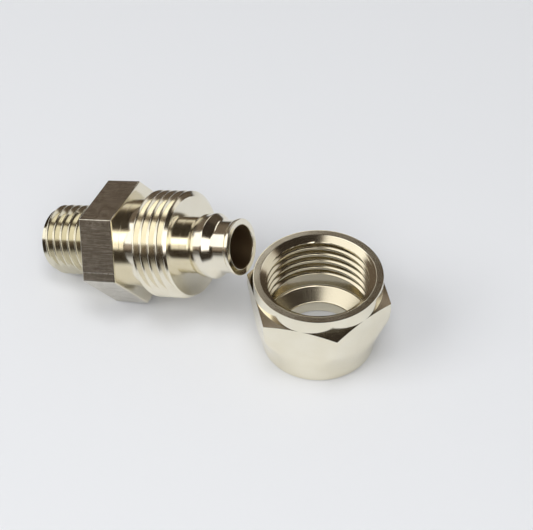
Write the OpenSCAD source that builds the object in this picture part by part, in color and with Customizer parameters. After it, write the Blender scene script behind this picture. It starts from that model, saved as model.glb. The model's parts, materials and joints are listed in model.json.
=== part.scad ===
// Push-on hose fitting in two turned pieces, with its union nut taken off.
// The body lies tilted on its hexagon and on the end of its male thread, and
// its hose stub reaches to a corner of the nut, which stands mouth up.

/* [Body hexagon] */
// Width across the flats of the body's hexagon
body_af = 18; // [16:0.5:19]
// Length of the hexagon along the body's axis
body_hex_len = 6.4; // [5:0.2:8]

/* [Male thread] */
// Crest diameter of the male thread
male_d = 11.86; // [11:0.02:12]
// Length of the male thread, from the hexagon to its end
male_len = 10.9; // [9:0.1:12]
// Pitch of the male thread
male_pitch = 1.5; // [1:0.25:1.75]
// Length of the lead-in at the thread's end
lead_in_len = 1.2; // [0.6:0.1:1.5]
// Depth of that lead-in
lead_in_depth = 0.7; // [0.4:0.05:0.85]

/* [Nut thread] */
// Crest diameter of the thread that carries the nut
nut_thread_d = 17.8; // [17:0.1:18]
// Pitch of that thread and of the thread inside the nut
nut_pitch = 1.5; // [1:0.25:1.5]
// Depth of the relief below the root of that thread
relief_depth = 0.68; // [0.3:0.02:1]
// Length of the relief, from the hexagon to the thread
relief_len = 3.3; // [2.4:0.1:4]
// Length of the thread, from the relief to the end face
nut_thread_len = 6.75; // [5.5:0.25:8]
// Length of the chamfer at the end face
nut_thread_chamfer = 0.5; // [0.3:0.1:0.8]
// Distance from the last crest to the end face
last_crest = 0.35; // [0.2:0.05:0.7]

/* [Hose stub] */
// Diameter of the bore through the whole body
bore_d = 7.2; // [6:0.1:7.6]
// Wall of the stub where it leaves the end face
stub_wall = 1.2; // [1:0.05:1.5]
// Length of the straight root of the stub
stub_root_len = 0.6; // [0.4:0.1:1.5]
// Rise of the lead-in cone above the stub's root
cone_rise = 0.45; // [0.3:0.05:0.6]
// Length of that cone
cone_len = 1.25; // [0.8:0.05:2]
// Further rise of the barb, up to its sharp edge
barb_rise = 0.25; // [0.1:0.05:0.5]
// Length of the barb, from the cone to the sharp edge
barb_len = 2.75; // [2:0.05:3.5]
// Length of the fall behind the sharp edge
barb_fall = 1.1; // [0.7:0.1:1.5]
// Wall of the neck
neck_wall = 0.75; // [0.6:0.05:1]
// Length of the neck
neck_len = 2.9; // [2:0.1:4]
// Rise of the lip above the neck
lip_rise = 0.3; // [0.15:0.05:0.4]
// Length of the lip at the mouth
lip_len = 0.55; // [0.4:0.05:1]

/* [Union nut] */
// Height of the nut
nut_h = 15.1; // [14.5:0.1:18]
// Wall of the nut behind its thread, in the middle of a flat
nut_wall = 1.5; // [1.2:0.1:2.5]
// Height of the round collar at the mouth
collar_h = 2.6; // [1.8:0.1:3.2]
// Drop of the corner chamfer, from the collar to a corner
corner_drop = 0.65; // [0.4:0.05:1.2]
// Height of the six corner edges
corner_h = 4; // [3:0.1:5]
// Height over which the corners are turned down to the round skirt
corner_fall = 2.7; // [2:0.1:3]
// How far the foot stands in from the flats, all round
foot_inset = 1.25; // [0.8:0.05:1.6]
// Outside diameter of the hose
hose_d = 12; // [10:0.5:12.5]
// Gap all round the hose in its hole
hose_gap = 0.5; // [0.3:0.05:0.8]
// Length of the hose hole's straight wall
hose_hole_len = 2.1; // [1.5:0.1:2.8]
// Width of the ledge round the clamping cone
seat_ledge = 0.8; // [0.5:0.1:1]
// Height of the smooth groove below the thread
nut_groove_h = 3; // [2:0.1:4]
// Depth of that groove below the root of the thread
nut_groove_depth = 0.1; // [0.05:0.05:0.4]
// Radial clearance between the nut's thread and the body's thread
thread_gap = 0.1; // [0.05:0.01:0.2]
// How far the countersunk mouth opens beyond the root of the thread
mouth_flare = 0.3; // [0.1:0.05:0.5]

/* [Lie] */
// Turn of the nut's corner away from the body's axis
nut_turn = 6.9; // [0:0.1:12]
// Gap between the stub's lip and the nut's corner chamfer
rest_gap = 0.7; // [0.1:0.05:0.9]

/* [Hidden] */
$fn = 96;

// 60 degree threads: a crest is an eighth of the pitch wide
crest_share = 1 / 8;
male_r = male_d / 2;
male_root_r = male_r - 0.6134 * male_pitch;
out_r = nut_thread_d / 2;
out_root_r = out_r - 0.6134 * nut_pitch;
relief_r = out_root_r - relief_depth;

// radii of the stub, all built up from the bore
bore_r = bore_d / 2;
stub_r = bore_r + stub_wall;
cone_r = stub_r + cone_rise;
barb_r = cone_r + barb_rise;
neck_r = bore_r + neck_wall;
lip_r = neck_r + lip_rise;

// stations along the body's axis, measured from the hexagon's face to the nut side
z_male_end = -body_hex_len - male_len;
z_thread0 = relief_len;
z_face = relief_len + nut_thread_len;
z_cone0 = z_face + stub_root_len;
z_cone1 = z_cone0 + cone_len;
z_edge = z_cone1 + barb_len;
z_neck0 = z_edge + barb_fall;
z_neck1 = z_neck0 + neck_len;
z_tip = z_neck1 + lip_len;

// the body lies on the edge of its lower flat and on the last full crest
full_len = male_len - lead_in_len;
tilt = atan((body_af / 2 - male_r) / full_len);
lie_z = body_af / 2 * cos(tilt) + body_hex_len * sin(tilt);

// the nut's inner thread, from its crest radius to its root radius
in_root_r = out_r + thread_gap;
in_crest_r = in_root_r - 0.5413 * nut_pitch;
groove_r = in_root_r + nut_groove_depth;
mouth_r = in_root_r + mouth_flare;
mouth_land = 0.65;

// the hose hole opens at 45 degrees up to the ledge
hole_r = hose_d / 2 + hose_gap;
seat_r = groove_r - seat_ledge;
z_seat = hose_hole_len + seat_r - hole_r;
z_in0 = z_seat + nut_groove_h;

// outer radii and stations of the nut
af_r = in_root_r + nut_wall;
corner_r = af_r / cos(30);
foot_r = af_r - foot_inset;
z_corner = nut_h - collar_h - corner_drop;
z_low = z_corner - corner_h;
z_skirt = z_low - corner_fall;
rim_round = 0.25;
foot_round = 0.4;

// where the lip comes nearest to the nut: a point of its lower edge above the corner
side = corner_r * sin(nut_turn);
lip_low = sqrt(pow(lip_r, 2) - side * side);
lip_z = lie_z + z_tip * sin(tilt) - lip_low * cos(tilt);
cone_run = (corner_r - af_r) / corner_drop;
rest_r = lip_z > z_corner ? max(corner_r - (lip_z - z_corner) * cone_run, af_r) : corner_r;
lie_x = -sqrt(pow(rest_r + rest_gap, 2) - side * side) - z_tip * cos(tilt) - lip_low * sin(tilt);

// half outline [radius, z] of a row of thread rings that ends at z1, from z0 on
function rings(z0, z1, pitch, root, crest) =
    let (run = abs(crest - root) * tan(30), half = pitch * crest_share / 2,
         n = floor((z1 - z0) / pitch + 0.001))
    [for (k = [0:n - 1], p = [[root, -half - run], [crest, -half], [crest, half], [root, half + run]])
        [p[0], z1 - (n - k - 0.5) * pitch + p[1]]];

// what it is given, turned down by drop below the radius r over the length len before the end
module turned_down(end, len, drop, r) {
    intersection() {
        children();
        polygon([[0, -1], [r + drop, -1], [r + drop, end - 2 * len], [r - drop, end], [0, end]]);
    }
}

module male_thread() {
    last = full_len - male_pitch * crest_share / 2;
    translate([0, 0, -body_hex_len])
        rotate([180, 0, 0])
            rotate_extrude()
                turned_down(male_len, lead_in_len, lead_in_depth, male_r)
                    polygon(concat([[0, -1], [male_root_r, -1]],
                        rings(-0.5, last + male_pitch * 3 / 2, male_pitch, male_root_r, male_r),
                        [[male_root_r, male_len + 1], [0, male_len + 1]]));
}

module nut_thread() {
    rotate_extrude()
        turned_down(z_face, nut_thread_chamfer, nut_thread_chamfer, out_r)
            polygon(concat([[0, -1], [relief_r, -1], [relief_r, z_thread0], [out_root_r, z_thread0]],
                rings(z_thread0, z_face - last_crest + nut_pitch / 2, nut_pitch, out_root_r, out_r),
                [[out_root_r, z_face + 1], [0, z_face + 1]]));
}

module hose_stub() {
    rotate_extrude()
        polygon([[0, z_face - 1], [stub_r, z_face - 1], [stub_r, z_cone0], [cone_r, z_cone1],
            [barb_r, z_edge], [neck_r, z_neck0], [neck_r, z_neck1 - lip_rise], [lip_r, z_neck1],
            [lip_r, z_tip], [0, z_tip]]);
}

module body_hexagon() {
    translate([0, 0, -body_hex_len])
        linear_extrude(height = body_hex_len)
            rotate(30) circle(d = body_af / cos(30), $fn = 6);
}

module body_bore() {
    translate([0, 0, z_male_end - 1]) cylinder(r = bore_r, h = z_tip - z_male_end + 2);
}

module fitting_body() {
    color([0.80, 0.78, 0.72])
        translate([lie_x, 0, lie_z])
            rotate([0, 90 - tilt, 0])
                difference() {
                    union() {
                        male_thread();
                        body_hexagon();
                        nut_thread();
                        hose_stub();
                    }
                    body_bore();
                }
}

// outer form of the nut: a hexagon turned down to a collar and to a round skirt
module nut_outside() {
    out = 0.01;
    intersection() {
        linear_extrude(height = nut_h) rotate(nut_turn) circle(r = corner_r, $fn = 6);
        rotate_extrude()
            polygon([[0, 0], [foot_r - foot_round, 0], [foot_r, foot_round], [af_r, z_skirt],
                [corner_r, z_low], [corner_r + out, z_low + out], [corner_r + out, z_corner - out],
                [af_r, nut_h - collar_h], [af_r, nut_h - rim_round], [af_r - rim_round, nut_h],
                [0, nut_h]]);
    }
}

// inner form: hose hole, clamping cone, ledge, groove, thread and countersunk mouth
module nut_inside() {
    rotate_extrude()
        polygon(concat([[0, -1], [hole_r, -1], [hole_r, hose_hole_len], [seat_r, z_seat],
                [groove_r, z_seat], [groove_r, z_in0], [in_crest_r, z_in0]],
            rings(z_in0, nut_h - mouth_land, nut_pitch, in_crest_r, in_root_r),
            [[in_crest_r, nut_h - (mouth_r - in_crest_r)], [mouth_r, nut_h], [mouth_r, nut_h + 1],
                [0, nut_h + 1]]));
}

module union_nut() {
    color([0.82, 0.80, 0.74])
        difference() {
            nut_outside();
            nut_inside();
        }
}

fitting_body();
union_nut();
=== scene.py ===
# %% [markdown]
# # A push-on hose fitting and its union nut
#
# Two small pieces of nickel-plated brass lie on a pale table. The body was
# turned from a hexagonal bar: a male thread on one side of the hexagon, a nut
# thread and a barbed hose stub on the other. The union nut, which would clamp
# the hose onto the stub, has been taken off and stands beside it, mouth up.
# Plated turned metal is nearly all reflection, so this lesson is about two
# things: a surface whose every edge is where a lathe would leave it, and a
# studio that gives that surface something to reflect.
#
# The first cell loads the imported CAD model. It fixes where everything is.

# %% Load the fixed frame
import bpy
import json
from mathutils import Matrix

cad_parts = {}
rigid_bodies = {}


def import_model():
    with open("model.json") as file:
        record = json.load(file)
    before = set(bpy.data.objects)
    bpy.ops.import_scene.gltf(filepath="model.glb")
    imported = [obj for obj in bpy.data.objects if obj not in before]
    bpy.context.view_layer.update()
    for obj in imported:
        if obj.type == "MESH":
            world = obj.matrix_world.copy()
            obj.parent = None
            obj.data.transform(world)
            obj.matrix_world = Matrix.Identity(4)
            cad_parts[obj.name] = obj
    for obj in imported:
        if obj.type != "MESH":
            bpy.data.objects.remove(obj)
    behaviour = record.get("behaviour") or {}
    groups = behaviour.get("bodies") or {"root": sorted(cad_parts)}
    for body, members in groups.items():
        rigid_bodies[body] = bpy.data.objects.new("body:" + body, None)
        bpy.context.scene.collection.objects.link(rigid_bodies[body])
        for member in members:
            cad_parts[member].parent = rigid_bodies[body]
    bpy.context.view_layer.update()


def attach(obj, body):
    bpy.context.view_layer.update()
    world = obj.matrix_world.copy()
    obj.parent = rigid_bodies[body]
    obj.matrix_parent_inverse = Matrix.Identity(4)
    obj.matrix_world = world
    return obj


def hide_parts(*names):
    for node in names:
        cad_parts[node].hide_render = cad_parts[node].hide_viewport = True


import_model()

import json
import math

import bmesh
import bpy
import numpy as np
from mathutils import Matrix, Vector

MM = 0.001


# %% [markdown]
# ## The camera
#
# The picture was taken from above and in front, with a long lens. The lens and
# the place of the eye could be tried by hand until the render looks right. Here
# they were worked out from the corners, edges and round rims of the fitting. A
# fit over 85 points of them misses by 0.7 pixels on average and by 2 at worst,
# which is closer than the eye gets by trying.

# %% Camera
FOCAL_PX, WIDTH_PX, SENSOR_MM = 1665.2, 533, 36
YAW, DOWN, ROLL = (math.radians(a) for a in (25.272, 44.649, 1.761))
EYE = Vector((72.96, -173.82, 203.74)) * MM
LEVEL = Vector((math.cos(YAW), math.sin(YAW), 0))    # to the picture's right
FACING = Vector((math.sin(YAW), -math.cos(YAW), 0))  # towards the camera, level

forward = -FACING * math.cos(DOWN) - Vector((0, 0, math.sin(DOWN)))
sinking = forward.cross(LEVEL)
right = LEVEL * math.cos(ROLL) + sinking * math.sin(ROLL)
downward = sinking * math.cos(ROLL) - LEVEL * math.sin(ROLL)

lens = bpy.data.cameras.new("camera")
lens.sensor_fit, lens.sensor_width = "HORIZONTAL", SENSOR_MM
lens.lens = FOCAL_PX * SENSOR_MM / WIDTH_PX
lens.clip_start, lens.clip_end = 0.005, 20
camera = bpy.data.objects.new("camera", lens)
turned = Matrix((right, -downward, -forward)).transposed().to_4x4()
camera.matrix_world = Matrix.Translation(EYE) @ turned
bpy.context.scene.collection.objects.link(camera)
bpy.context.scene.camera = camera
print(f"camera: lens {lens.lens:.1f} mm, eye {EYE.length / MM:.0f} mm from the origin")

# %% [markdown]
# ## Profiles with real edges
#
# A turned part is a profile carried round an axis. Drawn with straight lines
# only, its edges would be perfectly sharp and would catch no light, which a
# plated edge always does. A Bevel modifier could break them, but it works by
# angle and would also take the thread crests. Breaking the corners in the
# profile itself gives each edge its own size.

# %% Soften the corners of a profile
def softened(corners, edge, steps=4, hold=0.07):
    """Points [station, radius] of a profile whose corners are broken.

    A corner p between unit directions a and b becomes the curve
    (1-t)^2 (p + e a) + 2 t (1-t) p + t^2 (p + e b), where e is the size of the
    edge, at most 0.4 of the shorter side. A holding point just outside either
    end of the curve keeps the flat beside it flat in the shading.
    """
    corners = np.asarray(corners, float)
    points = [corners[:1]]
    for before, here, after, size in zip(corners[:-2], corners[1:-1], corners[2:], edge[1:-1]):
        back, ahead = before - here, after - here
        reach_back, reach_ahead = np.hypot(*back), np.hypot(*ahead)
        e = min(size, 0.4 * reach_back, 0.4 * reach_ahead)
        t = np.linspace(0, 1, steps + 1)[:, None]
        p0, p2 = here + back / reach_back * e, here + ahead / reach_ahead * e
        curve = (1 - t) ** 2 * p0 + 2 * t * (1 - t) * here + t ** 2 * p2
        first = p0 + back / reach_back * min(hold, 0.3 * (reach_back - e))
        last = p2 + ahead / reach_ahead * min(hold, 0.3 * (reach_ahead - e))
        points.append(np.vstack([first, curve, last]))
    points.append(corners[-1:])
    return np.vstack(points)


print("points of a broken corner:", len(softened([[0, 0], [1, 0], [1, 1]], [0, 0.1, 0])) - 2)

# %% [markdown]
# ## Columns that know the hexagon
#
# Both pieces have a hexagon. It could be made as a prism and joined to the
# round parts with a Boolean, which leaves long thin faces along the seam. Here
# the radius changes with the angle instead, so the same grid of rows and
# columns carries round parts and flats. The columns are crowded at the six
# corners, where the bar's edge is a small round, and they run from 0 to a full
# turn, both included, so that a thread can climb by one pitch over the turn and
# still meet itself.

# %% Angles of the columns
SIXTH, HALF_FLAT = np.pi / 3, np.pi / 6


def column_angles(first_corner, count=180, spread=0.5):
    """Angles of the columns: an even ring and nine more columns round each corner,
    sorted, from 0 to a full turn. spread is their distance from the corner in degrees."""
    even = np.linspace(0, 2 * np.pi, count + 1)
    corners = first_corner + np.arange(-1, 7)[:, None] * SIXTH
    beside = np.radians(spread) * np.array([-3, -1, -0.66, -0.33, 0, 0.33, 0.66, 1, 3])
    near = (corners + beside).ravel()
    near = near[(near > 0.001) & (near < 2 * np.pi - 0.001)]
    far = np.min(np.abs(even[:, None] - near[None]), axis=1) > np.radians(0.25)
    far[[0, -1]] = True
    return np.sort(np.concatenate([even[far], near]))


print("columns:", len(column_angles(HALF_FLAT)))

# %% Radius of a hexagon
def hexagon_radius(angle, flat_r, first_corner, nose=0.18):
    """Radius of a hexagon at an angle: the flat's distance over the cosine of the angle
    from the flat's middle, with each corner rounded by a circle of radius nose that
    touches both flats."""
    from_corner = (angle - first_corner + HALF_FLAT) % SIXTH - HALF_FLAT
    from_flat = HALF_FLAT - np.abs(from_corner)
    straight = flat_r / np.cos(from_flat)
    centre = (flat_r - nose) / np.cos(HALF_FLAT)
    inside = np.maximum(nose ** 2 - (centre * np.sin(from_corner)) ** 2, 0)
    round_r = centre * np.cos(from_corner) + np.sqrt(inside)
    touch = np.arctan2(nose * np.sin(HALF_FLAT), centre + nose * np.cos(HALF_FLAT))
    return np.where(np.abs(from_corner) < touch, round_r, straight)


taken = 9 / math.cos(HALF_FLAT) - hexagon_radius(np.zeros(1), 9, 0)[0]
print(f"rounding takes {taken:.3f} mm off a corner")

# %% [markdown]
# ## Threads as rows that climb
#
# A thread could be faked by rings, which is what the CAD model does, or cut by
# sweeping a tooth along a helix with a Screw modifier and a Boolean. Rows that
# climb along the helix are lighter and cleaner: each row is one line of the
# thread's profile, such as the edge of its crest, followed once round the
# axis, and it moves on by one pitch in that turn. Where the thread starts and
# stops, the rows are simply held at the last station.

# %% Profile of a thread
PITCH = 1.5
CREST_FLAT = PITCH / 8
TOOTH = 0.6134 * PITCH  # depth of an outer 60 degree thread


def thread_profile(crest, root, steps, edge=0.12):
    """One pitch of a 60 degree thread, as phases from -0.5 to 0.5 and radii, with the
    crest in the middle: a flank runs out by its depth times the tangent of 30 degrees.

    steps adds that many rows at even distances, for a thread that a cone cuts across.
    """
    half, run = CREST_FLAT / 2, abs(crest - root) * math.tan(math.radians(30))
    corners = [[-0.5 * PITCH, root], [-half - run, root], [-half, crest],
               [half, crest], [half + run, root], [0.5 * PITCH, root]]
    edges = [0, edge * 0.8, edge, edge, edge * 0.8, 0]
    profile = softened(corners, edges, steps=3, hold=0.02)
    even = np.linspace(-0.5, 0.5, steps + 2)
    phase = np.unique(np.concatenate([profile[:, 0] / PITCH, even]).round(6))
    return phase, np.interp(phase, profile[:, 0] / PITCH, profile[:, 1])


print("rows in a pitch:", len(thread_profile(5.93, 5.93 - TOOTH, 0)[0]) - 1)

# %% Rows of a thread
def thread_rows(angle, crest_at, low, high, crest, root, limit, steps=0):
    """Stations and radii of a thread's rows between two stations.

    A row of phase p has station crest_at + pitch (k + p + angle / full turn),
    held between low and high. Its radius is that of the profile at the place
    where it is held, and limit, a function of the station and the radius,
    turns the thread down, as a chamfer does.
    """
    phase, radius = thread_profile(crest, root, steps)
    turns = np.arange(math.floor((low - crest_at) / PITCH) - 2,
                      math.ceil((high - crest_at) / PITCH) + 2)
    rows = (turns[:, None] + phase[None, :-1]).ravel()
    turned_by = angle[None] / (2 * np.pi)
    station = np.clip(crest_at + PITCH * (rows[:, None] + turned_by), low, high)
    place = ((station - crest_at) / PITCH - turned_by + 0.5) % 1 - 0.5
    return station, limit(station, np.interp(place, phase, radius))


two_pitches = thread_rows(np.zeros(1), 0, 0, 2 * PITCH, 5.93, 5.93 - TOOTH, lambda s, r: r)
print("rows of a thread of two pitches:", len(two_pitches[0]))

# %% [markdown]
# ## One closed skin
#
# A turned part could be several lathed shells with caps between them, and every
# joint between two shells would be a seam to close. Here each piece is a single
# skin: the profile runs along the outside and comes back through the bore, so
# the grid closes on itself in both directions. Rows that were held at the same
# station lie on each other and are merged, and the edges sharper than 28
# degrees stay sharp in the shading.

# %% Rows of a round part
def turned_rows(profile, angle, **softening):
    """A round part's rows: the softened points of a profile of (station, radius, size
    of the broken edge), each carried round at its own radius."""
    profile = np.asarray(profile, float)
    points = softened(profile[:, :2], profile[:, 2], **softening)
    ones = np.ones_like(angle)
    return points[:, :1] * ones, points[:, 1:] * ones


# %% Skin a grid
MERGE = 0.0008 * MM
SHARP = math.radians(28)


def closed_skin(name, rows, angle, place):
    """A mesh from rows of stations and radii. Its point (i, j) is place(station, radius,
    angle) in mm, and the quad (i, j) joins rows i and i + 1, the last row to the first."""
    station = np.vstack([r[0] for r in rows])
    radius = np.vstack([r[1] for r in rows])
    points = place(station, radius, angle[None]) * MM
    index = np.arange(station.size).reshape(station.shape)
    after = np.roll(index, -1, axis=0)
    quads = np.stack([index[:, :-1], index[:, 1:], after[:, 1:], after[:, :-1]], axis=-1)
    mesh = bpy.data.meshes.new(name)
    mesh.from_pydata(points.reshape(-1, 3).tolist(), [], quads.reshape(-1, 4).tolist())
    work = bmesh.new()
    work.from_mesh(mesh)
    bmesh.ops.remove_doubles(work, verts=work.verts, dist=MERGE)
    bmesh.ops.dissolve_degenerate(work, edges=work.edges, dist=MERGE)
    bmesh.ops.recalc_face_normals(work, faces=work.faces)
    open_edges = sum(not e.is_manifold for e in work.edges)
    work.to_mesh(mesh)
    work.free()
    mesh.shade_smooth()
    mesh.set_sharp_from_angle(angle=SHARP)
    piece = bpy.data.objects.new(name, mesh)
    bpy.context.scene.collection.objects.link(piece)
    triangles = sum(len(p.vertices) - 2 for p in mesh.polygons)
    print(f"{name}: {len(mesh.vertices)} points, {triangles} triangles, {open_edges} open edges")
    return piece


# %% [markdown]
# ## The fitting body
#
# The body is one piece of bar. From left to right it has a male thread with a
# lead-in, the hexagon, a relief where the tool ran out, the thread for the nut
# with its chamfer, a flat end face and the hose stub: a straight root, a
# lead-in cone, the barb with its ridge, a neck and a lip. It lies on one flat
# and on the thread's last crest, so its axis climbs a little to the right. It
# could be built upright and turned afterwards, but then its place would be in
# the object and not in the mesh, so the points are worked out where they lie.
# The stations are measured along the axis from the hexagon's right face.

# %% Sizes of the body, in mm
FLAT_R, HEX_LEN = 9.0, 6.4
MALE_R, MALE_LEN, LEAD_LEN, LEAD_DEPTH = 5.93, 10.9, 1.2, 0.7
MALE_END = -HEX_LEN - MALE_LEN
RELIEF_R, RELIEF_LEN = 7.3, 3.3
NUT_THREAD_R, END_CHAMFER, FACE_AT = 8.9, 0.55, 10.05
ROOT_R, CONE_R, RIDGE_R, NECK_R, LIP_R, BORE_R = 4.68, 5.2, 5.42, 4.35, 4.65, 3.6
ROOT_END, CONE_END, RIDGE_AT = 11.9, 12.6, 14.65
NECK_AT, NECK_END, LIP_AT, TIP_AT = 16.0, 18.35, 18.65, 19.2
# the crests that the camera sees, 0.611 of a turn round from the underside
SEEN_TURN, MALE_CREST_SEEN, NUT_CREST_SEEN = 0.611, -10.0, 5.25

TILT = math.atan((FLAT_R - MALE_R) / (MALE_LEN - LEAD_LEN))
AXIS = np.array([math.cos(TILT), 0, math.sin(TILT)])
UNDER = np.array([math.sin(TILT), 0, -math.cos(TILT)])
ACROSS = np.array([0.0, 1.0, 0.0])
LIE = np.array([-31.7626, 0, FLAT_R * math.cos(TILT) + HEX_LEN * math.sin(TILT)])
print(f"the axis climbs {math.degrees(TILT):.2f} degrees, hexagon face at {LIE.round(2)}")

# %% [markdown]
# ## Threads and hexagon of the body
#
# The male thread ends in a slim lead-in cone, so that it starts easily, and the
# nut thread in a short chamfer. The hexagon keeps the bar's own flats, with
# both its edges broken. A cone could be cut off each thread with a Boolean.
# Here the thread's radius is simply never larger than the cone's, and the
# hexagon's edges are rows that lie a little inside the bar's own radius.

# %% Threads and hexagon of the body
turn = column_angles(HALF_FLAT)
bar = hexagon_radius(turn, FLAT_R, HALF_FLAT)


def lead_in(station, radius):
    """The smaller of the radius and a cone that is LEAD_DEPTH deep at the thread's end."""
    cone = MALE_R - LEAD_DEPTH * (1 - (station - MALE_END) / LEAD_LEN)
    return np.minimum(radius, cone)


def end_chamfer(station, radius):
    """The smaller of the radius and a 45 degree cone, END_CHAMFER deep at the end face."""
    return np.minimum(radius, NUT_THREAD_R - END_CHAMFER + (FACE_AT - station))


def bar_rows(pairs):
    """Rows of the hexagon: a station, and the bar's own radius less how far inside it."""
    one = np.ones_like(turn)
    return np.array([s * one for s, _ in pairs]), np.array([bar - inside for _, inside in pairs])


male_rows = thread_rows(turn, MALE_CREST_SEEN - SEEN_TURN * PITCH, MALE_END, -HEX_LEN,
                        MALE_R, MALE_R - TOOTH, lead_in)
nut_rows = thread_rows(turn, NUT_CREST_SEEN - SEEN_TURN * PITCH, RELIEF_LEN, FACE_AT,
                       NUT_THREAD_R, NUT_THREAD_R - TOOTH, end_chamfer)
# in from a face, and inside the bar: the broken edge of the hexagon
HEX_EDGE = [(0.0, 0.45), (0.0, 0.12), (0.03, 0.04), (0.1, 0.0), (0.2, 0.0)]
hex_rows = bar_rows([(s - HEX_LEN, d) for s, d in HEX_EDGE] + [(-s, d) for s, d in HEX_EDGE[::-1]])
print("rows: male thread", len(male_rows[0]), "hexagon", len(hex_rows[0]),
      "nut thread", len(nut_rows[0]))

# %% [markdown]
# ## Relief, stub and bore
#
# The relief is the groove in which the thread tool ran out. The stub takes the
# hose: it is pushed up the lead-in cone and over the ridge, and the lip at the
# tip guides it on. All this could be drawn as a curve and turned with a Screw
# modifier. A table says the same and can be read like a drawing: station,
# radius and the size of the broken edge, one corner after another. The first
# and last lines of a table have no edge: they only say where the next rows take
# over, on a flat face or in the straight bore.

# %% Relief, stub and bore
relief_rows = turned_rows([
    (0, 7.8, 0), (0, RELIEF_R, 0.03),
    (RELIEF_LEN, RELIEF_R, 0.2), (RELIEF_LEN, NUT_THREAD_R - TOOTH - 0.1, 0)], turn)
stub_rows = turned_rows([
    (FACE_AT, 7.6, 0), (FACE_AT, ROOT_R, 0.03), (ROOT_END, ROOT_R, 0.3),
    (CONE_END, CONE_R, 0.3), (RIDGE_AT, RIDGE_R, 0.2), (NECK_AT, NECK_R, 0.35),
    (NECK_END, NECK_R, 0.15), (LIP_AT, LIP_R, 0.12), (TIP_AT, LIP_R, 0.15),
    (TIP_AT, BORE_R, 0.12), (TIP_AT - 0.3, BORE_R, 0)], turn)
bore_rows = turned_rows([
    (10, BORE_R, 0), (MALE_END, BORE_R, 0.2), (MALE_END, MALE_R - 0.95, 0)], turn)
print("rows: relief", len(relief_rows[0]), "stub", len(stub_rows[0]), "bore", len(bore_rows[0]))

# %% [markdown]
# ## The body in one skin
#
# The rows run from the male thread's end over the hexagon, the relief, the nut
# thread and the stub, and come back through the bore. The piece then stands in
# for the CAD body and rides where that rode.

# %% Skin of the body
def along_body(station, radius, angle):
    """Point on the body: LIE + station times AXIS + radius times (cosine of the angle
    times UNDER + sine of the angle times ACROSS)."""
    return (LIE + station[..., None] * AXIS
            + (radius * np.cos(angle))[..., None] * UNDER
            + (radius * np.sin(angle))[..., None] * ACROSS)


body = closed_skin(
    "fitting_body_plated",
    [male_rows, hex_rows, relief_rows, nut_rows, stub_rows, bore_rows], turn, along_body)
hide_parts("fitting_body")
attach(body, "root")

# %% [markdown]
# ## The union nut
#
# The nut is a hexagon that was turned down on both sides: a round collar with a
# thin flat rim at the mouth, six corners left standing in the middle, and a
# skirt that runs down to the foot. Inside are the countersink, the thread, a
# smooth groove, the clamping cone and the hole for the hose. A Boolean of a
# lathed form and a prism would give this too, with rough faces where they meet.
# Rows that bend do it cleanly: where a cone meets a flat, the edge is a curve,
# because the cone reaches the hexagon's radius higher or lower at each angle.

# %% Sizes of the nut, in mm
NUT_FLAT_R, NUT_H, NUT_TURN = 10.5, 15.1, math.radians(6.9)
CORNER_R = NUT_FLAT_R / math.cos(HALF_FLAT)
COLLAR_AT, CORNER_TOP, CORNER_LOW, FOOT_R = 12.5, 11.85, 8.1, 9.25
IN_ROOT_R, IN_CREST_R, GROOVE_R, HOLE_R = 9.0, 8.188, 9.1, 6.5
MOUTH_R, MOUTH_SLOPE = 9.35, 1.732
GROOVE_TOP, SEAT_TOP, SEAT_LOW, STAND_R = 6.9, 3.6, 2.1, 7.5
# the crest on the far wall, which the camera sees 0.32 of a turn round
FAR_TURN, IN_CREST_SEEN = 0.32, 13.7

spin = column_angles(NUT_TURN)
ring = np.ones_like(spin)
outline = hexagon_radius(spin, NUT_FLAT_R, NUT_TURN)
print(f"across the nut's corners: {2 * outline.max():.2f} mm")

# %% [markdown]
# ## Foot, skirt and flats
#
# The lower end of the nut was turned down to a slender round skirt, so the
# flats grow out of it in six arches. A prism cut by a turned form would give
# arches that are knife-sharp. Here the radius at each angle is the smaller of
# the skirt's and the hexagon's, and the change from one to the other is a
# little rounded, more so higher up, as plating and polishing leave it.

# %% Foot, skirt and flats
SKIRT_SLOPE, FOOT_TOP, ROW_GAP = 0.12, 0.9, 0.3
BLEND, FULL_BLEND_AT = 0.3, 3


def skirt_radius(height):
    """Radius of the turned skirt: foot radius + slope z + c z^2, where c makes it reach
    the corners at CORNER_LOW."""
    bend = (CORNER_R - FOOT_R - SKIRT_SLOPE * CORNER_LOW) / CORNER_LOW ** 2
    return FOOT_R + SKIRT_SLOPE * height + bend * height ** 2


def turned_skirt(height):
    """Radius of flats whose lower end was turned to a skirt: the softer minimum of the
    two radii a and b, (a + b) / 2 - sqrt((a - b)^2 / 4 + blend^2), where the blend grows
    from the foot on."""
    skirt, blend = skirt_radius(height), BLEND * min(height / FULL_BLEND_AT, 1)
    return (skirt + outline) / 2 - np.sqrt((skirt - outline) ** 2 / 4 + blend ** 2)


foot = turned_rows([(0, STAND_R, 0), (0, FOOT_R, 0.4), (FOOT_TOP, skirt_radius(FOOT_TOP), 0)],
                   spin, steps=6, hold=0)
foot_rows = foot[0][:-1], foot[1][:-1]
heights = np.arange(1.2, 9.6, ROW_GAP)
low_rows = np.array([z * ring for z in heights]), np.array([turned_skirt(z) for z in heights])
print("rows: foot", len(foot_rows[0]), "skirt", len(low_rows[0]))

# %% [markdown]
# ## Corners, collar and rim
#
# Above, the corners end in a cone that runs up to the round collar, and the
# collar ends in the mouth's thin flat rim. The cone meets each flat in a curve.
# It could be cut with a Boolean. Here its lower edge is one row, whose height
# falls from the collar at the middle of a flat to the lowest point at a corner.

# %% Corners, collar and rim
share = (outline - NUT_FLAT_R) / (CORNER_R - NUT_FLAT_R)
high_edge = COLLAR_AT - share * (COLLAR_AT - CORNER_TOP)


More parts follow.
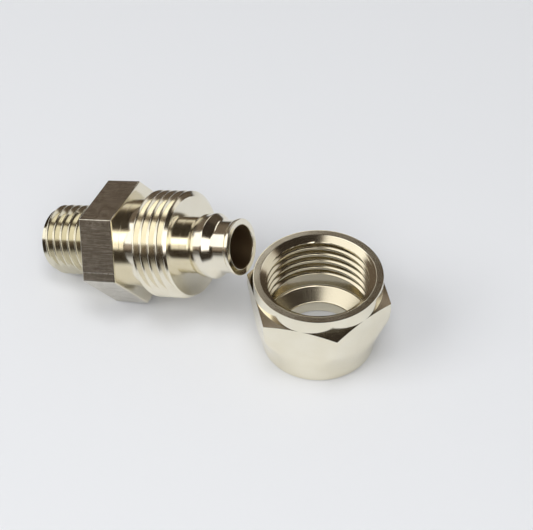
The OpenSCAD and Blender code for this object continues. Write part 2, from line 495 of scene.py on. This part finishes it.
def between(parts, station0, radius0, station1, radius1):
    """Rows that divide the straight lines from one row to another: start + part times
    (end - start)."""
    parts = np.asarray(parts, float)[:, None]
    return station0 + parts * (station1 - station0), radius0 + parts * (radius1 - radius0)


flat_rows = between([0, 0.5, 0.985, 1],
                    (heights[-1] + ROW_GAP) * ring, outline, high_edge, outline)
high_rows = between([0, 0.06, 0.5, 0.94, 1],
                    high_edge, outline, COLLAR_AT * ring, NUT_FLAT_R * ring)
mouth_rows = turned_rows([
    (COLLAR_AT + 0.04, NUT_FLAT_R, 0), (NUT_H, NUT_FLAT_R, 0.1), (NUT_H, MOUTH_R, 0.03),
    (NUT_H - 0.05, MOUTH_R - 0.05 * MOUTH_SLOPE, 0)], spin)
print("rows: flats", len(flat_rows[0]), "cones", len(high_rows[0]), "mouth", len(mouth_rows[0]))

# %% [markdown]
# ## Inside of the nut
#
# The mouth is countersunk at 120 degrees, so the thread starts a little below
# the rim. Below the thread a smooth groove lets the tool run out, and under it
# a cone presses the hose onto the barb and leads straight to the hose hole.
# The countersink could be cut through the thread with a Boolean. Here the
# thread's radius is never smaller than the cone's, with extra rows so that the
# cut across each turn is clean.

# %% Inside of the nut
def countersink(height, radius):
    """The larger of the radius and a cone that opens to MOUTH_R at the rim."""
    return np.maximum(radius, MOUTH_R - (NUT_H - height) * MOUTH_SLOPE)


inner = thread_rows(spin, IN_CREST_SEEN - FAR_TURN * PITCH, GROOVE_TOP, NUT_H - 0.06,
                    IN_ROOT_R, IN_CREST_R, countersink, steps=18)
inner_rows = inner[0][::-1], inner[1][::-1]
seat_rows = turned_rows([
    (GROOVE_TOP, IN_ROOT_R + 0.02, 0), (GROOVE_TOP, GROOVE_R, 0.05), (SEAT_TOP, GROOVE_R, 0.25),
    (SEAT_LOW, HOLE_R, 0.15), (0, HOLE_R, 0.2), (0, STAND_R, 0)], spin)
print("rows: inner thread", len(inner_rows[0]), "seat", len(seat_rows[0]))

# %% [markdown]
# ## The nut in one skin
#
# The rows climb the outside from the foot to the rim and go down again inside.
# The nut's hose hole is the origin of the frame and its axis is upright, so
# its points need no turning.

# %% Skin of the nut
def up_nut(station, radius, angle):
    """Point on the nut: (radius cosine of the angle, radius sine of the angle, station)."""
    return np.stack([radius * np.cos(angle), radius * np.sin(angle), station + 0 * angle], axis=-1)


nut = closed_skin(
    "union_nut_plated",
    [foot_rows, low_rows, flat_rows, high_rows, mouth_rows, inner_rows, seat_rows], spin, up_nut)
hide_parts("union_nut")
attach(nut, "root")

# %% [markdown]
# ## Wires for the shaders
#
# A finish is a small calculation at every point of the surface. It could be
# drawn in the shader editor, or written as one node after another, and either
# way the formula is lost. One class stands for a socket and lets plain Python
# arithmetic add the Math nodes, and one method makes every other node.

# %% Shader arithmetic
class Wire:
    """A socket that can be used in arithmetic; every operation adds a Math node."""

    def __init__(self, bench, socket):
        self.bench, self.socket = bench, socket

    def _math(self, operation, *values):
        return self.bench.make("ShaderNodeMath", {"operation": operation}, dict(enumerate(values)))

    def __add__(self, other): return self._math("ADD", self, other)
    def __radd__(self, other): return self._math("ADD", other, self)
    def __sub__(self, other): return self._math("SUBTRACT", self, other)
    def __rsub__(self, other): return self._math("SUBTRACT", other, self)
    def __mul__(self, other): return self._math("MULTIPLY", self, other)
    def __rmul__(self, other): return self._math("MULTIPLY", other, self)
    def __pow__(self, other): return self._math("POWER", self, other)
    def __rpow__(self, other): return self._math("POWER", other, self)
    def __abs__(self): return self._math("ABSOLUTE", self)


# %% A bench for one node tree
class Bench:
    """The node tree of one finish, or of the world, emptied and ready for new nodes."""

    def __init__(self, tree):
        self.tree = tree
        tree.nodes.clear()

    def make(self, kind, settings=None, sockets=None, out=0):
        """Adds a node: its settings first, then values or wires for its sockets, and
        returns one output."""
        node = self.tree.nodes.new(kind)
        for name, value in (settings or {}).items():
            setattr(node, name, value)
        for key, value in (sockets or {}).items():
            if isinstance(value, Wire):
                self.tree.links.new(value.socket, node.inputs[key])
            else:
                node.inputs[key].default_value = value
        return Wire(self, node.outputs[out]) if node.outputs else None

    def vector(self, operation, a, b, out="Vector"):
        """Vector Math of two vectors."""
        values = (v if isinstance(v, Wire) else tuple(v) for v in (a, b))
        settings, sockets = {"operation": operation}, dict(enumerate(values))
        return self.make("ShaderNodeVectorMath", settings, sockets, out)

    def dot(self, vector, direction):
        """How far a vector reaches along a direction."""
        return self.vector("DOT_PRODUCT", vector, direction, out="Value")

    def step(self, value, start, end):
        """0 before start, 1 after end, and the rise 3 t^2 - 2 t^3 between them."""
        return self.make("ShaderNodeMapRange", {"interpolation_type": "SMOOTHSTEP"},
                         {0: value, 1: start, 2: end, 3: 0.0, 4: 1.0})

    def band(self, value, rise, fall):
        """1 between two values and 0 outside: one step up times one step down."""
        return self.step(value, *rise) * (1 - self.step(value, *fall))

    def blend(self, factor, a, b):
        """Colour a where factor is 0 and colour b where it is 1."""
        a, b = (c if isinstance(c, Wire) else (*c, 1) for c in (a, b))
        return self.make("ShaderNodeMix", {"data_type": "RGBA"}, {0: factor, 6: a, 7: b}, out=2)

    def noise(self, vector, detail, roughness=0.5, scale=1.0):
        """Perlin noise of a vector, or of three numbers, about 0.5."""
        if isinstance(vector, tuple):
            vector = self.make("ShaderNodeCombineXYZ", {}, dict(enumerate(vector)))
        return self.make("ShaderNodeTexNoise", {}, {
            "Vector": vector, "Scale": scale, "Detail": detail, "Roughness": roughness})


# %% Start and end of a finish
def start_finish(name):
    """A new material and the bench of its node tree."""
    material = bpy.data.materials.new(name)
    material.use_nodes = True
    return material, Bench(material.node_tree)


def plated(b, colour, rough, height):
    """A metal with this colour and roughness, and a relief of this height in mm."""
    bump = b.make("ShaderNodeBump", {}, {"Strength": 1.0, "Distance": MM, "Height": height})
    shader = b.make("ShaderNodeBsdfPrincipled", {}, {
        "Base Color": colour, "Metallic": 1.0, "Roughness": rough, "Normal": bump})
    b.make("ShaderNodeOutputMaterial", {}, {"Surface": shader})


# %% [markdown]
# ## Nickel plate
#
# Nickel is a slightly warm white metal. Over turned brass it keeps the fine
# rings that the lathe left, and here and there it is a little duller. An even
# metal with one roughness would look like chrome in a drawing. So a slow noise
# makes it brighter or duller, and a noise that only changes along the axis and
# away from it makes the rings, as the tool did.

# %% Plate on turned metal
def turned_plate(b, local, along, out, cloud_scale, ring_scale, dull, bright):
    """Colour, roughness and rings of turned nickel plate: the colour goes from dull to
    bright with a slow noise, and the rings are a noise of the two distances."""
    cloud = b.noise(local, 3.0, scale=cloud_scale)
    rings = b.noise((along * ring_scale, out * ring_scale, 0.0), 3.0, 0.6)
    return b.blend(b.step(cloud, 0.35, 0.7), dull, bright), 0.11 + 0.06 * cloud, rings


# %% [markdown]
# ## Drawn flats and a dark bore
#
# The hexagon of the body was not turned: its flats are the drawn surface of the
# bar, darker and full of fine scratches along the axis, with one longer scratch
# near the lower edge of the front flat. The bore was drilled and is dull. They
# could be faces with materials of their own, but then each border would follow
# the mesh. One finish makes them all, with masks worked out from the distance
# along the axis and out from it.

# %% Drawn surface of the bar
FRONT_FLAT = math.radians(-120)  # the direction of the flat that faces the camera
SCRATCH_AT = 3.74                # down the front flat from its middle
DRAWN_DARK, DRAWN_LIGHT, SCRATCHED = (0.52, 0.49, 0.42), (0.78, 0.75, 0.68), (0.95, 0.92, 0.86)


def drawn_flats(b, local, s, h, w):
    """Colour, roughness and height of the drawn flats: streaks are a noise that is
    stretched along the axis, and the scratch is a narrow band that cross noise breaks."""
    grain = b.noise((s * 0.25, w * 6.0, h * 6.0), 4.0, 0.7)
    cross = b.noise((s * 5.0, w * 0.6, h * 0.6), 2.0, 0.6)
    blot = b.noise(local, 3.0, 0.6, scale=1.6)
    down = b.dot(local, -math.sin(FRONT_FLAT) * UNDER + math.cos(FRONT_FLAT) * ACROSS)
    off_scratch = abs(down - SCRATCH_AT + 0.08 * (cross - 0.5))
    scratch = (1 - b.step(off_scratch, 0.03, 0.10)) * b.step(cross, 0.40, 0.55)
    streaks = b.step(grain * 0.62 + cross * 0.13 + blot * 0.25, 0.42, 0.60)
    colour = b.blend(scratch * 0.5, b.blend(streaks, DRAWN_DARK, DRAWN_LIGHT), SCRATCHED)
    rough = 0.18 + 0.10 * grain + 0.15 * scratch
    return colour, rough, grain * 0.009 + cross * 0.002 - scratch * 0.003


# %% Finish of the body
PLATE_DULL, PLATE_BRIGHT = (0.865, 0.815, 0.68), (0.895, 0.85, 0.725)
MALE_THREAD, DARK_BORE = (0.74, 0.70, 0.57), (0.40, 0.29, 0.17)


def body_finish():
    """Nickel plate with turning rings, duller on the male thread, drawn flats on the
    hexagon and a dark bore. s, h and w are the distances in mm along the axis, up from
    it and across, and out is the root of h^2 + w^2."""
    material, b = start_finish("nickel_plate_body")
    from_face = b.vector("SUBTRACT", b.make("ShaderNodeTexCoord", out="Object"), LIE * MM)
    local = b.vector("MULTIPLY", from_face, (1 / MM,) * 3)
    s, h, w = b.dot(local, AXIS), b.dot(local, -UNDER), b.dot(local, ACROSS)
    out = (h * h + w * w) ** 0.5
    flats = b.step(out, FLAT_R - 0.07, FLAT_R - 0.03) * b.band(
        s, (0.04 - HEX_LEN, 0.1 - HEX_LEN), (-0.1, -0.04))
    bored = (1 - b.step(out, BORE_R + 0.1, BORE_R + 0.2)) * b.band(
        s, (MALE_END + 0.1, MALE_END + 0.3), (TIP_AT - 0.2, TIP_AT - 0.1))

    plate, sheen, rings = turned_plate(b, local, s, out, 0.35, 3.5, PLATE_DULL, PLATE_BRIGHT)
    plate = b.blend(b.step(s, -0.3 - HEX_LEN, -HEX_LEN), MALE_THREAD, plate)
    drawn, drawn_rough, drawn_height = drawn_flats(b, local, s, h, w)
    colour = b.blend(bored, b.blend(flats, plate, drawn), DARK_BORE)
    rough = sheen * (1 - flats) + drawn_rough * flats + 0.40 * bored
    plated(b, colour, rough, rings * 0.004 * (1 - flats) + drawn_height * flats)
    return material


body.data.materials.append(body_finish())
print("finish of the body:", len(body.data.materials[0].node_tree.nodes), "nodes")

# %% [markdown]
# ## The nut's plate
#
# The nut was turned all over, inside and out, so it has the same plate with
# rings round its upright axis. Inside, its colour is darker, as painted shade
# for the hollow of the nut. Its rings are deeper there, and the clamping cone
# is a little rougher. A second material could do that. A mask by radius and
# height keeps it one finish and puts the border on the edge of the mouth.

# %% Finish of the nut
# the third colour is painted shade: the plate's colour darkened for the nut's hollow
NUT_DULL, NUT_BRIGHT, NUT_SHADED_INSIDE = (0.87, 0.82, 0.67), (0.90, 0.855, 0.715), (0.72, 0.66, 0.52)


def nut_finish():
    """Nickel plate with a darker colour inside, painted shade for the hollow. x, y and z
    are in mm, and out is the root of x^2 + y^2."""
    material, b = start_finish("nickel_plate_nut")
    local = b.vector("MULTIPLY", b.make("ShaderNodeTexCoord", out="Object"), (1 / MM,) * 3)
    x, y, z = (b.dot(local, d) for d in np.eye(3))
    out = (x * x + y * y) ** 0.5
    inside = (1 - b.step(out, MOUTH_R - 0.2, MOUTH_R - 0.05)) * b.step(
        z, SEAT_LOW - 0.5, SEAT_LOW + 0.3)
    seat = (1 - b.step(z, SEAT_TOP - 0.3, SEAT_TOP + 0.1)) * inside
    plate, sheen, rings = turned_plate(b, local, z, out, 0.3, 4.0, NUT_DULL, NUT_BRIGHT)
    # painted shade: the inside of the nut takes the darker colour
    colour = b.blend(inside, plate, NUT_SHADED_INSIDE)
    plated(b, colour, sheen + 0.06 * seat, rings * (0.001 + 0.0012 * inside))
    return material


nut.data.materials.append(nut_finish())
print("finish of the nut:", len(nut.data.materials[0].node_tree.nodes), "nodes")

# %% [markdown]
# ## Floor
#
# The table is a plain pale surface, large enough to reach the horizon. Polished
# metal mirrors it far beyond the picture's edge, and a table lit evenly all the
# way would fill the lower half of every reflection with white. The metal in the
# picture mirrors dark there, so only the middle seems to have been lit. A lamp
# with a narrow beam could do that, but it would also change the shadows, so the
# floor's colour gets darker away from the fitting for every ray but the
# camera's.

# %% Floor
FLOOR_HALF, FLOOR_AT = 3, -0.00002  # in metres, a hair below the fitting
floor_mesh = bpy.data.meshes.new("floor")
floor_mesh.from_pydata([(x * FLOOR_HALF, y * FLOOR_HALF, 0) for x, y in
                        ((-1, -1), (1, -1), (1, 1), (-1, 1))], [], [(0, 1, 2, 3)])
floor = bpy.data.objects.new("floor", floor_mesh)
floor.location.z = FLOOR_AT
bpy.context.scene.collection.objects.link(floor)
print("floor:", [round(side, 2) for side in floor.dimensions], "m")

# %% Finish of the floor
LIT_MIDDLE, LIT_TO, DARK_FROM = LEVEL * 0.08 - FACING * 0.04, 0.12, 0.24
PALE, UNLIT = (0.80, 0.81, 0.825), (0.08, 0.075, 0.07)


def table_finish():
    """A pale matt surface whose colour steps to dark between two distances from its lit
    middle, in metres, for every ray but the camera's."""
    material, b = start_finish("pale_table")
    place = b.make("ShaderNodeTexCoord", out="Object")
    away = b.vector("DISTANCE", place, LIT_MIDDLE, out="Value")
    seen = b.make("ShaderNodeLightPath", out="Is Camera Ray")
    dimmed = b.step(away, LIT_TO, DARK_FROM) * (1 - seen)
    shader = b.make("ShaderNodeBsdfPrincipled", {}, {
        "Base Color": b.blend(dimmed, PALE, UNLIT), "Roughness": 0.6, "Specular IOR Level": 0.2})
    b.make("ShaderNodeOutputMaterial", {}, {"Surface": shader})
    return material


floor_mesh.materials.append(table_finish())
print("finish of the floor:", len(floor_mesh.materials[0].node_tree.nodes), "nodes")

# %% [markdown]
# ## What the metal mirrors
#
# What makes plated metal look like metal is the change from light to dark in
# what it reflects. The studio is a dim room with a large window high on the
# left, which reaches overhead, a strip of light on the ceiling, and windows on
# the right. Real panels could stand round the fitting, but each would also
# throw light and shadow of its own. So they are drawn in the world, for mirror
# rays only, as soft-edged boxes in two angles: the lateral angle, left or right
# of the plane that faces the camera, and the elevation in that plane, which is
# 0 at the front horizon, 90 overhead and 180 at the back horizon.

# %% Two angles of a direction
DEGREES = 180 / math.pi
world = bpy.data.worlds.new("studio")
bpy.context.scene.world = world
world.use_nodes = True
sky = Bench(world.node_tree)
direction = sky.make("ShaderNodeTexCoord", out="Generated")
sideways, upward, frontal = (sky.dot(direction, d) for d in (LEVEL, (0, 0, 1), FACING))
aside = sky.make("ShaderNodeMath", {"operation": "ARCSINE"}, {0: sideways}) * DEGREES
elevation = sky.make("ShaderNodeMath", {"operation": "ARCTAN2"}, {0: upward, 1: frontal}) * DEGREES


def window(left, right_side, low, high, soft):
    """1 inside a box of lateral angle and elevation and 0 outside, with edges that fade
    over soft degrees either way."""
    return (sky.band(aside, (left - soft, left + soft), (right_side - soft, right_side + soft))
            * sky.band(elevation, (low - soft, low + soft), (high - soft, high + soft)))


def slanted(low, high, soft, lean):
    """1 where the elevation plus lean times the lateral angle lies between low and high."""
    return sky.band(elevation + lean * aside, (low - soft, low + soft), (high - soft, high + soft))


def either(first, second):
    """The brighter of two lights."""
    return sky.make("ShaderNodeMath", {"operation": "MAXIMUM"}, {0: first, 1: second})


print("nodes for the two angles:", len(world.node_tree.nodes))

# %% [markdown]
# ## The windows
#
# Each light on the metal comes from one of these: the broad bright bands from
# the left window, whose edge slants, the thin line on the upper side from the
# ceiling strip, and the light on the nut's right and behind the barb's ridge
# from the windows on the right. Dusk is the faint light of the walls between
# them. A picture of a studio could be mirrored instead, but no light in it
# could be moved by itself.

# %% Windows of the room
left_window = 1.35 * (window(-95, 9, 43, 200, 4.5) * slanted(-90, 69, 3.5, 1.15))
left_low = 0.3 * window(-95, -55, 14, 48, 12)
ceiling_strip = 1.6 * slanted(138, 154, 2.5, -1) * window(-24, 12, 90, 200, 3)
right_back = 0.85 * window(38, 72, 103, 141, 5)
right_front = either(window(36, 52, 27, 80, 4), 1.7 * window(2, 38, 27, 65, 4))
dusk = (0.12 * window(-95, -16, 100, 172, 8) + 0.04 * window(-20, 40, 122, 200, 8)
        + 0.08 * window(40, 95, 140, 190, 8))
light = (0.035 + either(either(left_window, left_low), ceiling_strip)
         + (right_back + right_front) + dusk)
print("nodes with the windows:", len(world.node_tree.nodes))

# %% [markdown]
# ## Dome and backdrop
#
# A mirror ray sees that room, warmer where it is dim. All other rays see an
# even dome, which fills the shadows, and the camera sees a plain pale backdrop.
# One world for all three would be simpler, but the windows would light the
# floor in patches and show behind it.

# %% World
WARM, PLAIN = (1.0, 0.77, 0.58), (1.0, 0.985, 0.94)
DOME, BACKDROP = (0.985, 0.99, 1.0, 1), (0.75, 0.76, 0.77, 1)
tint = sky.blend(sky.step(light, 0.03, 0.9), WARM, PLAIN)
room = sky.make("ShaderNodeBackground", {}, {"Color": tint, "Strength": light})
dome = sky.make("ShaderNodeBackground", {}, {"Color": DOME, "Strength": 0.36})
backdrop = sky.make("ShaderNodeBackground", {}, {"Color": BACKDROP, "Strength": 1.0})
mirror_ray = sky.make("ShaderNodeLightPath", out="Is Glossy Ray")
camera_ray = sky.make("ShaderNodeLightPath", out="Is Camera Ray")
lit = sky.make("ShaderNodeMixShader", {}, {0: mirror_ray, 1: dome, 2: room})
shown = sky.make("ShaderNodeMixShader", {}, {0: camera_ray, 1: lit, 2: backdrop})
sky.make("ShaderNodeOutputWorld", {}, {"Surface": shown})
print("world nodes:", len(world.node_tree.nodes))

# %% [markdown]
# ## Lamps
#
# The soft shadows on the table come from three lamps: a window on the left, a
# softbox in front and one nearly overhead, which also lights the floor inside
# the nut. Sun lamps would throw shadows with hard edges. The metal doesn't
# mirror the lamps, because its windows are drawn already.

# %% Lamps
LAMP_AWAY, LAMP_COLOUR = 0.9, (0.99, 0.99, 1.0)


def panel(name, azimuth, height, size, power):
    """A square lamp that looks at the fitting from an azimuth to the camera's left and a
    height above the horizon, in degrees: its direction is (sin a cos h, -cos a cos h,
    sin h), where a is the camera's yaw less the azimuth."""
    lamp = bpy.data.lights.new(name, "AREA")
    lamp.shape, lamp.size, lamp.energy, lamp.color = "SQUARE", size, power, LAMP_COLOUR
    a, h = YAW - math.radians(azimuth), math.radians(height)
    toward = Vector((math.sin(a) * math.cos(h), -math.cos(a) * math.cos(h), math.sin(h)))
    facing = toward.to_track_quat("Z", "Y").to_matrix().to_4x4()
    holder = bpy.data.objects.new(name, lamp)
    holder.matrix_world = Matrix.Translation(toward * LAMP_AWAY) @ facing
    holder.visible_glossy = False
    bpy.context.scene.collection.objects.link(holder)
    print(f"{name}: {power} W")


panel("left_window", 70, 42, 0.5, 2.9)
panel("front_softbox", 0, 42, 0.5, 2.5)
panel("top_softbox", 0, 84, 0.4, 2.1)

# %% [markdown]
# ## Finish
#
# The colours are shown as they are written.

# %% Finish
bpy.context.scene.view_settings.view_transform = "Standard"
